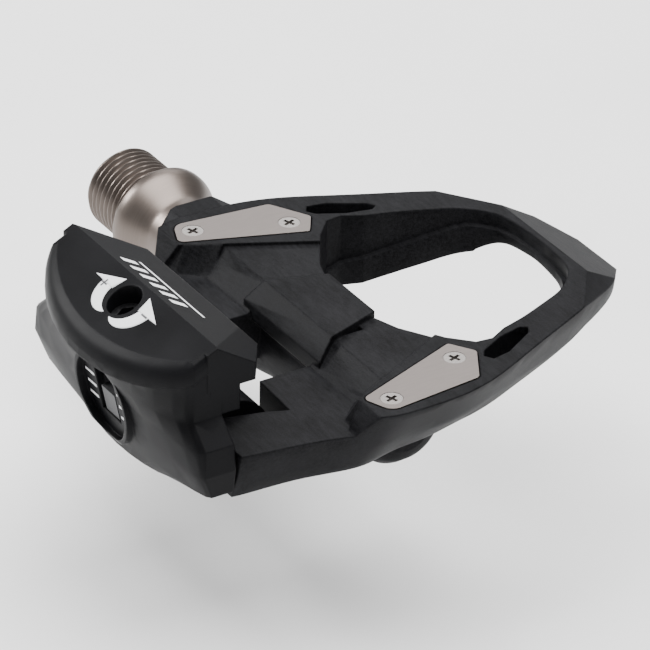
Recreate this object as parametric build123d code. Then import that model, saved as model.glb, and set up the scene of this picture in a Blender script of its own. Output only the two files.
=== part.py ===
from build123d import *
import os
from math import asin, cos, pi, radians, sin, tan

# Right-hand clipless road pedal.  Millimetres, +Z up, +Y towards the front loop, +X away from the
# crank.  Everything is laid out about the pedal's centre plane and moved by PEDAL_OFFSET at the end,
# so that the origin is the middle of the spindle's crank seat.

# ---- fits ----
RUN = 0.05                   # radial clearance of running fits
SEAT = 0.02                  # radial clearance of pressed and screwed seats

# ---- spindle ----
PEDAL_OFFSET = 54.0          # crank seat to the pedal's centre plane
THREAD_R = 7.144             # 9/16 inch crank thread, major radius
THREAD_LENGTH = 12.9
THREAD_CHAMFER = 1.0
HEX_SOCKET = 8.0             # across flats, in the threaded end
HEX_SOCKET_DEPTH = 7.0
FLANGE_R = THREAD_R + 2.106  # seat flange of the spindle
FLANGE_EDGE = 0.55
JOURNAL_R = 4.6              # needle bearing journal
NECK_R = JOURNAL_R + 2.1     # narrow end of the domed neck
SHAFT_R = 2.9                # outboard part of the spindle
NUT_THREAD_R = SHAFT_R - 0.45
DOME_LENGTH = 7.4            # crank seat to the plain neck
DOME_STEPS = 12

# ---- bearings ----
BALL_R = 1.19                # 3/32 inch balls
BALL_PITCH_R = SHAFT_R + BALL_R + RUN
BALL_COUNT = int(pi / asin((BALL_R + RUN / 2) / BALL_PITCH_R))
INNER_BALL_X = -8.0
OUTER_BALL_X = 11.5
ROLLER_R = 0.85
ROLLER_LENGTH = 11.0
ROLLER_PITCH_R = JOURNAL_R + ROLLER_R + RUN
ROLLER_COUNT = int(pi / asin((ROLLER_R + RUN) / ROLLER_PITCH_R))
NEEDLE_X = -30.0             # middle of the needle bearing
CUP_WALL = 0.38
CUP_LIP = 0.5
RACE_WALL = 0.3
CONE_LENGTH = 2.6
NUT_LENGTH = 2.6
NUT_FLATS = 8.0              # across flats of the lock nut

# ---- bearing tube and housing ----
TUBE_WALL = 0.5
TUBE_R = ROLLER_PITCH_R + ROLLER_R + RUN + CUP_WALL + SEAT + TUBE_WALL
TUBE_NOSE_R = BALL_PITCH_R + BALL_R + RUN + RACE_WALL + SEAT + TUBE_WALL
TUBE_STEP_X = -15.0
TUBE_END_X = 17.5
MOUTH_X = -40.8              # inboard face of the axle housing
HOUSING_END_X = 22.6         # outboard end of the axle housing
HOUSING_R = TUBE_R + 1.7     # inboard part of the housing
HOUSING_NOSE_R = TUBE_NOSE_R + 1.5
SLEEVE_R = TUBE_R + 0.4      # lock sleeve thread
SLEEVE_LENGTH = 4.0
MOUTH_R = SLEEVE_R + 0.8     # outside of the mouth ring
SEAL_LIP = 0.6               # step between the neck and the seal

# ---- heights of the body ----
PLATFORM_Z = 11.3            # top of the platform and the loop
PLATEAU_Z = PLATFORM_Z + 0.4     # top of the axle hump
RECESS_Z = PLATFORM_Z - 0.6      # shoe relief beside the hump
SHELF_Z = 7.0                # top of the rear arms
WAIST_Z = 3.6                # widest level of the rounded underside
BELLY_Z = -1.7               # bottom of the arms and the loop
SLOT_FLOOR_Z = PLATFORM_Z - 4.1  # floor of the slots in the loop's arms
NOSE_Y = 51.4                # front of the loop at platform height

# Half-widths of the deck at platform height, rear to front, and how far lower levels are drawn in.
REAR_Y = -32.6               # rear faces of the body's arms
DECK = [(REAR_Y, 28.4), (-27.0, 29.5), (-20.0, 31.0), (-14.5, 32.8), (-10.0, 34.5), (-5.0, 34.9),
        (2.0, 34.6), (9.0, 32.9), (15.0, 30.3), (21.0, 27.4), (28.0, 24.2), (34.0, 21.2),
        (40.0, 17.3), (45.0, 13.2), (49.2, 7.8)]
WAIST_IN = [(REAR_Y, 2.2), (-14.5, 3.8), (-5.0, 5.2), (15.0, 4.6), (34.0, 3.2), (49.2, 0.9)]
BELLY_IN = [(REAR_Y, 4.2), (-14.5, 6.6), (-5.0, 9.6), (3.0, 10.2), (9.0, 10.0), (15.0, 8.8), (34.0, 6.4),
            (49.2, 3.0)]

# Right half of the loop's opening: curved part front to rear, then the straight rear edge.
OPENING_CURVE = [(0, 38.4), (4.0, 38.2), (9.3, 37.2), (12.2, 35.1), (14.4, 32.4), (16.6, 27.6),
                 (18.3, 23.4), (19.9, 18.2)]
OPENING_CORNERS = [(21.6, 15.4), (21.3, 12.6)]
OPENING_REAR = [(18.6, 9.2), (16.8, 8.1), (11.6, 4.9), (6.9, 3.3), (0, 4.0)]
LEDGE_WIDTH = 0.8

# ---- contact plates and screws ----
PLATE_CORNERS = [(27.9, -11.7), (20.5, 8.4), (24.6, 11.1), (31.4, 7.2), (33.1, -9.6)]
PLATE_ROUNDS = [1.1, 0.5, 0.9, 1.2, 2.2]
PLATE_THICKNESS = 1.2
PLATE_PROUD = 0.1            # plates stand this far above the platform
PLATE_GAP = 0.2              # visible gap round each contact plate
SCREW_PLACES = [(30.0, -7.8), (24.6, 7.0)]
SCREW_HEAD_R = 1.75
SCREW_HEAD_HEIGHT = 0.6
SCREW_SHANK_R = 1.2
SCREW_END_Z = PLATFORM_Z - 4.0   # screw tips stay inside the flanks and above the bearing tube
SCREW_FLUSH = 0.05           # heads sit this far below the plates
CROSS_LENGTH = 2.1
CROSS_WIDTH = 0.55
CROSS_DEPTH = 0.45

# ---- hinge of the binding ----
PIVOT_Y = -27.5
PIVOT_Z = 2.0
PIN_R = 2.0
PIN_START_X = -25.0
PIN_END_X = 22.6
ARM_INNER_X = 15.8           # inner faces of the body's arms behind the window
BINDING_GAP = 0.6            # seam between the body's arms and the binding
SEAM_Y = REAR_Y - BINDING_GAP
SIDE_GAP = 0.35              # gap beside the binding's lugs
LUG_OUT = ARM_INNER_X - SIDE_GAP
LUG_IN = LUG_OUT - 2.0
BARREL_R = 7.0               # outside of the binding's lugs
BARREL_WALL = 1.0

# ---- torsion springs ----
SPRING_WIRE_R = 0.8
SPRING_COIL_R = PIN_R + 2.0
SPRING_TURNS = 4
SPRING_START_X = 4.0
SPRING_LEG_X = LUG_IN - 1.4
SPRING_END_Y = -16.4         # tip of the leg in the body
LEG_NOTCH = 0.3              # clearance round that leg

# ---- binding ----
RIDGE_Y = -33.9              # crest of the claw
RIDGE_Z = 23.95
TOP_SLOPE = 26.565           # fall of the binding's top behind the crest, degrees
LIP_Y = -23.7                # most forward edge of the claw
CLAW_UNDER_Z = 16.6
CLAW_WALL_Y = -30.0
CLAW_HALF = 22.2             # half-width of the claw
LIP_HALF = 16.7              # half-width of the claw's front edge
ARM_HALF = 26.5              # half-width over the binding's side arms
CAP_REAR_Y = -37.9           # where the cap's round rear starts
CAP_BULGE = 7.7
RIM_DROP = 2.9               # thickness of the cap at its rim

# Rear skin of the binding: height, half-width, y at the side, y at the middle, power of the bow
SKIN = [(-3.0, 15.0, -34.4, -38.9, 0.5), (0.4, 25.8, -37.0, -39.6, 0.5), (4.6, ARM_HALF, -38.6, -40.6, 0.5),
        (8.8, ARM_HALF - 0.5, -38.2, -41.6, 0.5), (12.1, CLAW_HALF + 0.1, -38.1, -42.9, 0.6),
        (21.4, CLAW_HALF - 0.2, -37.8, -45.3, 0.725)]

# ---- tension adjuster ----
ADJUSTER_Y = -37.4           # where the bolt's axis meets the top face
ADJUSTER_TILT = 12.0         # lean of the bolt to the rear, degrees
BOLT_R = 2.0
BOLT_HEAD_R = BOLT_R + 0.7
BOLT_HEAD_HEIGHT = 2.2
BOLT_HEAD_DEPTH = 2.6        # top of the head below the top face
BOLT_LENGTH = 13.0           # head to tip
BOLT_HEX = 3.0
HEAD_CLEARANCE = 0.25
NUT_DEPTH = 12.6             # middle of the tension nut below the top face, at the softest setting
NUT_THICKNESS = 3.2
NUT_WALL = 0.8
NUT_BAR = 3.6                # depth of the nut's crossbar
FLAG_HALF = 2.0              # half-width of the indicator
FLAG_BACK = 5.75             # indicator behind the bolt's axis
FLAG_THICKNESS = 0.7
FLAG_HEIGHT = 4.7

# ---- indicator window ----
WINDOW_Z = 6.2
WINDOW_R = 7.2
WINDOW_LIP = 0.8
WINDOW_LOW = 2.3             # opening in the window's floor
WINDOW_HIGH = 11.4
WINDOW_HALF_WIDTH = 2.9
WINDOW_FLOOR = [(-37.6, -8.0), (-42.4, 16.0)]


# ---- helpers ----
DOWN = (Align.CENTER, Align.CENTER, Align.MAX)
UP = (Align.CENTER, Align.CENTER, Align.MIN)
TALL = 60.0                  # reach of cutting prisms past the part


def turned(profile):
    """Solid of revolution about the spindle axis from (x, radius) points."""
    return revolve(make_face(Polyline(*[(x, r, 0) for x, r in profile], close=True)), Axis.X, 360)


def rod(x0, x1, radius):
    """Cylinder along X between two places."""
    return Plane((x0, 0, 0), x_dir=(0, 1, 0), z_dir=(1, 0, 0)) * Cylinder(radius, x1 - x0, align=UP)


def hinge_rod(x0, x1, radius):
    """Cylinder about the hinge axis between two places."""
    return Pos(0, PIVOT_Y, PIVOT_Z) * rod(x0, x1, radius)


def side_prism(points, half):
    """Prism along X from a closed (y, z) outline, reaching half a width each way."""
    face = make_face(Polyline(*[(-half, y, z) for y, z in points], close=True))
    return extrude(face, 2 * half, dir=(1, 0, 0))


def plan_prism(points, z0, z1):
    """Prism along Z from a closed (x, y) outline."""
    face = make_face(Polyline(*[(x, y, z0) for x, y in points], close=True))
    return extrude(face, z1 - z0, dir=(0, 0, 1))


def mirrored(points):
    """Closed outline from the points of its right half, given front to rear."""
    return points + [(-x, y) for x, y in reversed(points)]


def both_sides(shape):
    """The shape together with its mirror image in the centre plane."""
    return shape + mirror(shape, Plane.YZ)


def half_space_above(point, normal, size=2 * TALL):
    """Large box on the side of a plane that the normal points to."""
    return Plane(point, z_dir=normal) * Box(size, size, size, align=UP)


def closed_face(*curves):
    """Flat face inside curves that join end to end."""
    return Face(Wire([edge for curve in curves for edge in curve.edges()]))


def row(pairs, y):
    """Value at y in a table of (y, value) pairs, by straight lines."""
    ordered = sorted(pairs)
    for (y0, v0), (y1, v1) in zip(ordered, ordered[1:]):
        if y <= y1:
            return v0 + (v1 - v0) * (y - y0) / (y1 - y0)
    return ordered[-1][1]


def bent_wire(points, radius):
    """Round wire along straight legs, with a slightly fuller ball at every bend."""
    legs = [Pos(*point) * Sphere(1.04 * radius) for point in points]
    for start, end in zip(points, points[1:]):
        along = Vector(*end) - Vector(*start)
        legs.append(Plane(start, z_dir=along) * Cylinder(radius, along.length, align=UP))
    wire = legs[0]
    for leg in legs[1:]:
        wire += leg
    return wire


# ---- body ----
def deck_outline(z, inset, nose):
    """Face inside the deck's outline at one height, drawn in by the inset rows."""
    right = [(x - row(inset, y), y) if inset else (x, y) for y, x in DECK]
    right_edge = Spline([(x, y, z) for x, y in right] + [(0, nose, z)], tangents=[(0.15, 1, 0), (-1, 0, 0)])
    rear = Line((-right[0][0], right[0][1], z), (right[0][0], right[0][1], z))
    return closed_face(rear, right_edge, mirror(right_edge, Plane.YZ))


def opening_prism(grow, z0, z1):
    """Prism through the front loop's opening, grown by a margin."""
    side = Spline([(x + (grow if x else 0), y + grow / 2, z0) for x, y in OPENING_CURVE],
                  tangents=[(1, 0, 0), (0.3, -1, 0)])
    x_end, y_end = OPENING_CURVE[-1]
    corners = [(x_end + grow, y_end + grow / 2)] + [(x + grow, y) for x, y in OPENING_CORNERS]
    edge = Polyline(*[(x, y, z0) for x, y in corners + OPENING_REAR])
    face = closed_face(side, edge, mirror(side, Plane.YZ), mirror(edge, Plane.YZ))
    return extrude(face, z1 - z0, dir=(0, 0, 1))


def loop_opening():
    """Through opening of the front loop, wider above a ledge that climbs to the front."""
    above_ledge = side_prism([(-10, TALL), (-10, 1.5), (14, 2.6), (24, 5.2), (34, 8.6), (50, 9.3),
                              (50, TALL)], TALL)
    return opening_prism(0.0, -TALL, TALL) + (opening_prism(LEDGE_WIDTH, -TALL, TALL) & above_ledge)


def axle_housing():
    """Outside of the axle housing, inboard mouth to outboard end."""
    return turned([(MOUTH_X, 0), (MOUTH_X, MOUTH_R - 0.6), (MOUTH_X + 0.8, MOUTH_R), (-33, HOUSING_R),
                   (-16, HOUSING_R), (-8, HOUSING_NOSE_R), (HOUSING_END_X - 2.5, HOUSING_NOSE_R),
                   (HOUSING_END_X - 0.7, HOUSING_NOSE_R - 1.4), (HOUSING_END_X, HOUSING_NOSE_R - 3.2),
                   (HOUSING_END_X, 0)])


def housing_bore():
    """Stepped bore that takes the lock sleeve and the bearing tube."""
    sleeve_end = MOUTH_X + SLEEVE_LENGTH + 0.1
    step = TUBE_STEP_X + 0.1
    tube_end = TUBE_END_X + 0.1
    stop_r = TUBE_NOSE_R - TUBE_WALL - 0.4
    return turned([(MOUTH_X - 1, 0), (MOUTH_X - 1, SLEEVE_R + SEAT), (sleeve_end, SLEEVE_R + SEAT),
                   (sleeve_end, TUBE_R + SEAT), (step, TUBE_R + SEAT), (step, TUBE_NOSE_R + SEAT),
                   (tube_end, TUBE_NOSE_R + SEAT), (tube_end, stop_r), (tube_end + 3.0, stop_r),
                   (tube_end + 3.0, 0)])


def plate_blank(z0, z1, grow=0.0):
    """Contact plate, or its pocket when grown, between two heights."""
    face = make_face(Polyline(*[(x, y, z0) for x, y in PLATE_CORNERS], close=True))
    for (x, y), radius in zip(PLATE_CORNERS, PLATE_ROUNDS):
        face = fillet(face.vertices().sort_by_distance((x, y, z0))[0], radius)
    if grow:
        face = offset(face, grow)
    return extrude(face, z1 - z0, dir=(0, 0, 1))


def deck_blank():
    """Deck and loop as one solid slab, widest at the waist and falling away at the nose."""
    waist = deck_outline(WAIST_Z, WAIST_IN, NOSE_Y + 1.2)
    upper = loft([waist, deck_outline(PLATFORM_Z, None, NOSE_Y)], ruled=True)
    lower = loft([deck_outline(BELLY_Z, BELLY_IN, NOSE_Y - 3.0), waist], ruled=True)
    blank = upper + lower
    blank -= half_space_above((0, 39.8, PLATFORM_Z), (0, sin(radians(30)), cos(radians(30))))
    fall = radians(38)
    blank -= both_sides(half_space_above((16.4, 36.9, PLATFORM_Z),
                                         (0.587 * sin(fall), 0.81 * sin(fall), cos(fall))))
    blank -= side_prism([(12, -TALL), (12, BELLY_Z), (18, -0.8), (23, 0.4), (28, 1.9), (33, 3.5), (36.5, 4.6),
                         (44, 5.2), (TALL, 5.2), (TALL, -TALL)], TALL)
    nose_plan = plan_prism(mirrored([(7.0, 46.0), (11.5, 42.0), (13.2, 37.5), (12.0, 32.0)]), -TALL, TALL)
    nose_side = side_prism([(34, -TALL), (34, 3.6), (38.5, 7.6), (43, 7.6), (46.5, 5.0), (46.5, -TALL)], TALL)
    return blank - (nose_plan & nose_side)


def rear_reliefs():
    """Material taken off the deck: the low rear arms and the shoe relief beside the hump."""
    arms = side_prism([(-TALL, SHELF_Z), (-14.6, SHELF_Z), (-12.0, PLATFORM_Z), (-12.0, TALL),
                       (-TALL, TALL)], TALL)
    relief_plan = plan_prism(mirrored([(16.1, 10.1), (28.8, -15.0)]), -TALL, TALL)
    relief_side = side_prism([(14, RECESS_Z), (-5.5, RECESS_Z), (-9.8, SHELF_Z), (-14.8, SHELF_Z),
                              (-14.8, TALL), (14, TALL)], TALL)
    return arms + (relief_plan & relief_side)


def platform_foot():
    """Sloped rear foot of the raised platform."""
    low = SHELF_Z - 1
    foot = Polyline((21.3, -10, low), (25.5, -14, low), (29.5, -14.6, low), (29.5, -6, low), close=True)
    top = Polyline((24.0, -5.6, PLATFORM_Z), (26.9, -11.3, PLATFORM_Z), (33.0, -12, PLATFORM_Z),
                   (33.0, -6, PLATFORM_Z), close=True)
    return loft([closed_face(foot), closed_face(top)], ruled=True)


def binding_window():
    """Space in front of the binding, through the body, that the hinge's lugs move in."""
    return plan_prism(mirrored([(9.3, 0.0), (9.3, -18.8), (19.0, -19.2), (17.5, -23.0),
                                (ARM_INNER_X, -29.4), (ARM_INNER_X, -40)]), -TALL, TALL)


def axle_hump():
    """Raised plateau over the axle housing, with a steep rear face."""
    plan = plan_prism(mirrored([(6.8, 3.6), (10.2, -6.3), (11.5, -9.3)]), -5, TALL)
    side = side_prism([(4.4, 0), (3.6, PLATEAU_Z), (-6.3, PLATEAU_Z), (-9.3, 8.5), (-9.3, 6.0),
                       (-6, 2), (-6, 0)], TALL)
    return plan & side


def mouth_shoulder():
    """Shoulder over the inboard end of the axle housing."""
    inboard = MOUTH_X + 0.6
    plan = plan_prism([(-30, 6.5), (-36.8, 5.0), (inboard, 2.0), (inboard, -5.0), (-38.5, -9.3),
                       (-26, -9.3)], -5, TALL)
    side = side_prism([(7, 0), (7, 6.8), (4.6, 8.8), (1.5, 10.2), (-6.3, 10.2), (-9.3, 7.6), (-9.3, 4.0),
                       (-6, 0)], TALL)
    return plan & side


def make_body():
    """Moulded frame: deck, loop, axle housing, hump, rear arms."""
    body = deck_blank() - loop_opening() - rear_reliefs()
    body += both_sides(platform_foot())
    body -= binding_window()
    body += axle_hump()
    body += mouth_shoulder()
    body += axle_housing()
    body -= housing_bore()

    # deep slots in the loop's arms
    slot = plan_prism([(27.8, 12.2), (26.4, 11.3), (25.0, 12.2), (22.7, 16.6), (21.7, 20.9), (22.4, 22.0),
                       (23.8, 21.2), (27.2, 15.4)], SLOT_FLOOR_Z, TALL)
    body -= both_sides(slot)

    # pockets and screw holes of the contact plates
    floor = PLATFORM_Z - PLATE_THICKNESS
    body -= both_sides(plate_blank(floor, TALL, PLATE_GAP))
    for x, y in SCREW_PLACES:
        depth = floor - SCREW_END_Z + 0.4
        body -= both_sides(Pos(x, y, floor) * Cylinder(SCREW_SHANK_R + SEAT, depth, align=DOWN))

    # bore for the pivot pin: open to the inboard side, blind on the outboard side
    body -= hinge_rod(-40, PIN_END_X, PIN_R + SEAT)
    notch = 2 * (SPRING_WIRE_R + LEG_NOTCH)
    notch_length = SPRING_END_Y + 2 * SPRING_WIRE_R - PIVOT_Y
    for x in (-SPRING_LEG_X, SPRING_LEG_X):
        body -= Pos(x, PIVOT_Y + notch_length / 2, PIVOT_Z - SPRING_COIL_R) * Box(notch, notch_length, notch)
    return body


# ---- plates and screws ----
def make_contact_plate(side):
    """Stainless wear plate with two counterbored holes; side is 1 outboard, -1 inboard."""
    floor = PLATFORM_Z - PLATE_THICKNESS
    top = PLATFORM_Z + PLATE_PROUD
    plate = plate_blank(floor, top)
    for x, y in SCREW_PLACES:
        plate -= Pos(x, y, floor) * Cylinder(SCREW_SHANK_R + RUN, 2 * PLATE_THICKNESS)
        plate -= Pos(x, y, top) * Cylinder(SCREW_HEAD_R + RUN, SCREW_HEAD_HEIGHT, align=DOWN)
    return plate if side > 0 else mirror(plate, Plane.YZ)


def make_screw(x, y):
    """Flat-headed screw with a cross recess."""
    top = PLATFORM_Z + PLATE_PROUD - SCREW_FLUSH
    head_bottom = PLATFORM_Z + PLATE_PROUD - SCREW_HEAD_HEIGHT + SEAT
    head = Pos(x, y, head_bottom) * Cylinder(SCREW_HEAD_R, top - head_bottom, align=UP)
    shank = Pos(x, y, SCREW_END_Z) * Cylinder(SCREW_SHANK_R, head_bottom - SCREW_END_Z + 0.1, align=UP)
    screw = head + shank
    for turn in (20, 110):
        screw -= Pos(x, y, top) * Rot(0, 0, turn) * Box(CROSS_LENGTH, CROSS_WIDTH, 2 * CROSS_DEPTH)
    return screw


def make_plate_screws():
    """All four plate screws as separate solids."""
    return Compound(children=[make_screw(side * x, y) for side in (-1, 1) for x, y in SCREW_PLACES])


# ---- axle unit ----
def make_spindle():
    """Spindle with the crank thread, domed neck and journals."""
    seat = -PEDAL_OFFSET
    end = seat - THREAD_LENGTH
    rim_end = seat + FLANGE_EDGE + 0.6
    dome_end = seat + DOME_LENGTH
    neck_x = MOUTH_X - 0.4
    nut_end = TUBE_END_X + 1.9
    cone_stop = OUTER_BALL_X + 1.8
    dome = []
    for i in range(DOME_STEPS + 1):
        t = i / DOME_STEPS
        swell = (0.5 + 0.5 * cos(pi * t)) ** 0.9
        dome.append((rim_end + t * (dome_end - rim_end), NECK_R + (FLANGE_R - NECK_R) * swell))
    profile = [(end, 0), (end, THREAD_R - THREAD_CHAMFER), (end + THREAD_CHAMFER, THREAD_R), (seat, THREAD_R),
               (seat, FLANGE_R - FLANGE_EDGE), (seat + FLANGE_EDGE, FLANGE_R)]
    profile += dome
    profile += [(neck_x, NECK_R), (neck_x, JOURNAL_R), (NEEDLE_X + ROLLER_LENGTH / 2 + 3.0, JOURNAL_R),
                (TUBE_STEP_X - 2.0, SHAFT_R), (cone_stop, SHAFT_R), (cone_stop, NUT_THREAD_R),
                (nut_end - 0.3, NUT_THREAD_R), (nut_end, NUT_THREAD_R - 0.3), (nut_end, 0)]
    socket = Plane((end, 0, 0), x_dir=(0, 1, 0), z_dir=(1, 0, 0)) * extrude(
        RegularPolygon(HEX_SOCKET / 2, 6, major_radius=False), HEX_SOCKET_DEPTH)
    return turned(profile) - socket


def make_bearing_tube():
    """Stepped tube that carries the races and the needle cup."""
    start = MOUTH_X + SLEEVE_LENGTH + 0.1
    inner_step = TUBE_STEP_X - 0.8
    bore = TUBE_NOSE_R - TUBE_WALL
    return turned([(start, TUBE_R - TUBE_WALL), (start, TUBE_R), (TUBE_STEP_X, TUBE_R),
                   (TUBE_STEP_X, TUBE_NOSE_R), (TUBE_END_X, TUBE_NOSE_R), (TUBE_END_X, bore),
                   (inner_step, bore), (inner_step, TUBE_R - TUBE_WALL)])


def make_needle_cup():
    """Drawn cup round the needle rollers, with lips at both ends."""
    outer = TUBE_R - TUBE_WALL - SEAT
    inner = outer - CUP_WALL
    half = ROLLER_LENGTH / 2 + 0.25
    lip = JOURNAL_R + CUP_LIP
    rim = half + CUP_LIP
    return turned([(NEEDLE_X - rim, lip), (NEEDLE_X - rim, outer), (NEEDLE_X + rim, outer),
                   (NEEDLE_X + rim, lip), (NEEDLE_X + half, lip), (NEEDLE_X + half, inner),
                   (NEEDLE_X - half, inner), (NEEDLE_X - half, lip)])


def ring_of(count, radius, piece):
    """Copies of a piece at even angles round the spindle axis, as separate solids."""
    angles = [2 * pi * i / count for i in range(count)]
    return Compound(children=[Pos(0, radius * cos(a), radius * sin(a)) * piece() for a in angles])


def make_needle_rollers():
    """Full set of needle rollers."""
    half = ROLLER_LENGTH / 2
    return ring_of(ROLLER_COUNT, ROLLER_PITCH_R, lambda: rod(NEEDLE_X - half, NEEDLE_X + half, ROLLER_R))


def make_balls(x):
    """Ring of loose balls."""
    return ring_of(BALL_COUNT, BALL_PITCH_R, lambda: Pos(x, 0, 0) * Sphere(BALL_R))


def make_race(x, side):
    """Ball race with a shoulder on one side of the balls."""
    outer = TUBE_NOSE_R - TUBE_WALL - SEAT
    inner = outer - RACE_WALL
    shoulder = BALL_PITCH_R + 0.4
    near = x - side * (BALL_R + 0.4)
    far = x + side * (BALL_R + 0.1)
    end = far + side * 0.8
    return turned([(near, inner), (near, outer), (end, outer), (end, shoulder), (far, shoulder),
                   (far, inner)])


CONE_X = OUTER_BALL_X + BALL_R + 0.12


def make_cone():
    """Outboard cone with its ball track."""
    bore = NUT_THREAD_R + SEAT
    rim = SHAFT_R + 0.7
    end = CONE_X + CONE_LENGTH
    return turned([(CONE_X + 0.6, bore), (CONE_X + 0.6, SHAFT_R), (CONE_X, SHAFT_R + RUN), (CONE_X, rim),
                   (CONE_X + 1.0, rim + 0.4), (end, rim + 0.4), (end, bore)])


def make_lock_nut():
    """Hexagonal lock nut behind the cone."""
    start = CONE_X + CONE_LENGTH + RUN
    nut = Plane((start, 0, 0), x_dir=(0, 1, 0), z_dir=(1, 0, 0)) * extrude(
        RegularPolygon(NUT_FLATS / 2, 6, major_radius=False), NUT_LENGTH)
    return nut - rod(start - 1, start + NUT_LENGTH + 1, NUT_THREAD_R + SEAT)


def make_lock_sleeve():
    """Threaded ring that closes the inboard end of the housing."""
    start = MOUTH_X + 0.15
    end = MOUTH_X + SLEEVE_LENGTH
    web = start + 2.2
    seal_r = NECK_R - SEAL_LIP
    return turned([(start, seal_r), (start, SLEEVE_R - 0.3), (start + 0.3, SLEEVE_R), (end, SLEEVE_R),
                   (end, JOURNAL_R + 0.4), (web, JOURNAL_R + 0.4), (web, seal_r)])


def make_dust_seal():
    """Lip seal between the lock sleeve and the spindle."""
    start = MOUTH_X + 0.3
    end = start + 1.9
    outer = NECK_R - SEAL_LIP - SEAT
    return turned([(start, JOURNAL_R + RUN), (start, outer), (end, outer), (end, JOURNAL_R + 0.5),
                   (start + 0.9, JOURNAL_R + RUN)])


# ---- hinge ----
def make_pivot_pin():
    """Hinge pin of the binding, with chamfered ends."""
    pin = hinge_rod(PIN_START_X, PIN_END_X - 0.1, PIN_R)
    return chamfer(pin.edges().filter_by(GeomType.CIRCLE), 0.3)


def make_torsion_spring(side):
    """Torsion spring on the pivot pin: outer leg in the body, inner leg behind the nut."""
    length = SPRING_LEG_X - SPRING_START_X
    coil = Helix(pitch=length / SPRING_TURNS, height=length, radius=SPRING_COIL_R)
    coil = Plane((SPRING_START_X, PIVOT_Y, PIVOT_Z), x_dir=(0, 0, -1), z_dir=(1, 0, 0)) * coil
    section = Plane(coil @ 0, z_dir=coil % 0) * Circle(SPRING_WIRE_R)
    spring = sweep(section, path=coil, is_frenet=True)
    bottom = PIVOT_Z - SPRING_COIL_R
    spring += bent_wire([(SPRING_LEG_X, PIVOT_Y, bottom), (SPRING_LEG_X, SPRING_END_Y, bottom)],
                        SPRING_WIRE_R)
    spring += bent_wire([(SPRING_START_X, PIVOT_Y, bottom), (SPRING_START_X, -35.2, bottom),
                         (SPRING_START_X, -37.75, 8.0), (SPRING_START_X, -38.2, 13.6)], SPRING_WIRE_R)
    return spring if side > 0 else mirror(spring, Plane.YZ)


# ---- binding ----
def top_z(y):
    """Height of the binding's top face behind the crest."""
    return RIDGE_Z + (y - RIDGE_Y) * tan(radians(TOP_SLOPE))


TOP_NORMAL = (0, -sin(radians(TOP_SLOPE)), cos(radians(TOP_SLOPE)))
ADJUSTER = Plane((0, ADJUSTER_Y, top_z(ADJUSTER_Y)), x_dir=(1, 0, 0),
                 z_dir=(0, -sin(radians(ADJUSTER_TILT)), cos(radians(ADJUSTER_TILT))))
CAP_EDGE = [(0.0, 2.3), (0.25, 1.25), (0.8, 0.5), (1.7, 0.1), (RIM_DROP, 0.0)]


def skin_section(z, half, y_side, y_mid, power):
    """Closed face across the binding at one height, straight in front and bowed at the rear."""
    bow = [(half * k, y_side + (y_mid - y_side) * (1 - k * k) ** power)
           for k in (1.0, 0.97, 0.88, 0.7, 0.48, 0.24)]
    right = [(half, SEAM_Y)] + bow
    left = [(-x, y) for x, y in reversed(right)]
    return make_face(Polyline(*[(x, y, z) for x, y in right + [(0.0, y_mid)] + left], close=True))


def cap_outline(drop, inset):
    """Plan of the cap on a plane under the top face, with its round rear drawn in."""
    arc = []
    for i in range(11):
        a = pi / 2 * i / 10
        pull = inset * sin(a) ** 0.5 if i else 0.0
        arc.append(((CLAW_HALF - 0.5 * inset) * cos(a), CAP_REAR_Y - CAP_BULGE * sin(a) ** 1.45 + pull))
    right = [(CLAW_HALF - 0.5 * inset, LIP_Y)] + arc
    left = [(-x, y) for x, y in reversed(right[:-1])]
    lowered = drop / cos(radians(TOP_SLOPE))
    points = [(x, y, top_z(y) - lowered) for x, y in right + left]
    return closed_face(Polyline(*points, close=True))


def claw_cap():
    """Claw and top face: a thick slab with a rounded rear edge, over the rear shell."""
    rounded = loft([cap_outline(drop, inset) for drop, inset in CAP_EDGE], ruled=True)
    front_y = LIP_Y - 12.0
    claw = side_prism([(LIP_Y, 18.95), (-25.3, 20.85), (RIDGE_Y, RIDGE_Z), (front_y, top_z(front_y)),
                       (front_y, CLAW_UNDER_Z), (-25.2, CLAW_UNDER_Z)], TALL)
    claw &= plan_prism(mirrored([(LIP_HALF, LIP_Y), (CLAW_HALF, -27.3), (CLAW_HALF, front_y)]), 0, TALL)
    return claw + (rounded - half_space_above((0, RIDGE_Y, 0), (0, 1, 0)))


def window_prism(radius, y0, y1):
    """Round prism along Y at the indicator window."""
    face = Plane((0, y0, WINDOW_Z), x_dir=(1, 0, 0), z_dir=(0, 1, 0)) * Circle(radius)
    return extrude(face, y1 - y0, dir=(0, 1, 0))


def rear_shell():
    """Bowed shell between the hinge and the cap."""
    sections = [skin_section(*values) for values in SKIN]
    shell = loft(sections[:2], ruled=True)
    for lower, upper in zip(sections[1:], sections[2:]):
        shell += loft([lower, upper], ruled=True)
    return shell - half_space_above((0, -38.0, top_z(-38.0) - RIM_DROP + 0.3), TOP_NORMAL)


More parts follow.
